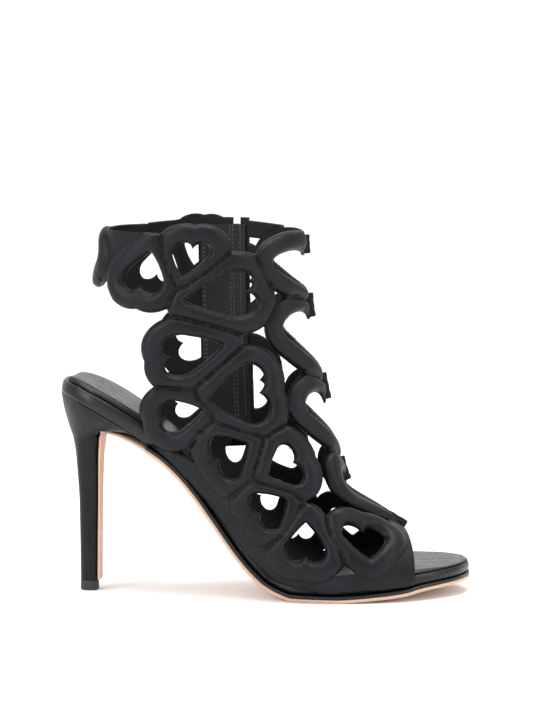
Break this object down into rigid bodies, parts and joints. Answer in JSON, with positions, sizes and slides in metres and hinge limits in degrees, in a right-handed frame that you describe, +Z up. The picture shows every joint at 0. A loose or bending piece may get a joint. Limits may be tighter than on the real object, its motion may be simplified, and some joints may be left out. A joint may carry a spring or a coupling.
{
  "type": "high heel shoe",
  "caption": "Right-foot black leather peep-toe caged bootie with heart cut-outs, a back zip panel on the inner side and a 105 mm stiletto heel.",
  "frame": {"origin": "on the ground plane under the forefoot, at the middle of the flat tread spot", "axes": "+X towards the toe, +Y towards the inner (medial) side, +Z up"},
  "size_m": [0.2125, 0.0888, 0.1947],
  "materials": {
    "upper_leather": "soft satin, finely grained",
    "glossy_leather": "glossy",
    "tan_leather": "matt",
    "tip_rubber": "matt",
    "tape_fabric": "matt woven",
    "zip_metal": "black, satin"
  },
  "bodies": {
    "shoe": {"upper": "upper_leather", "front_tab_1": "upper_leather", "front_tab_2": "upper_leather", "front_tab_3": "upper_leather", "front_tab_4": "upper_leather", "front_tab_5": "upper_leather", "zip_tape": "tape_fabric", "zip_teeth": "zip_metal", "zip_slider": "zip_metal", "insole_platform": "glossy_leather", "sock_pad": "glossy_leather", "welt": "glossy_leather", "outsole": "tan_leather", "heel": "upper_leather", "heel_breast_flap": "tan_leather", "heel_tip": "tip_rubber"},
    "zip_pull": {"zip_pull": "zip_metal"}
  },
  "joints": [
    {"name": "zip_pull_swing", "type": "hinge", "parent": "shoe", "child": "zip_pull", "pos_m": [-0.03622, 0.02498, 0.18592], "axis": [0.9277, -0.3733, 0], "range_deg": [0, 150]}
  ]
}
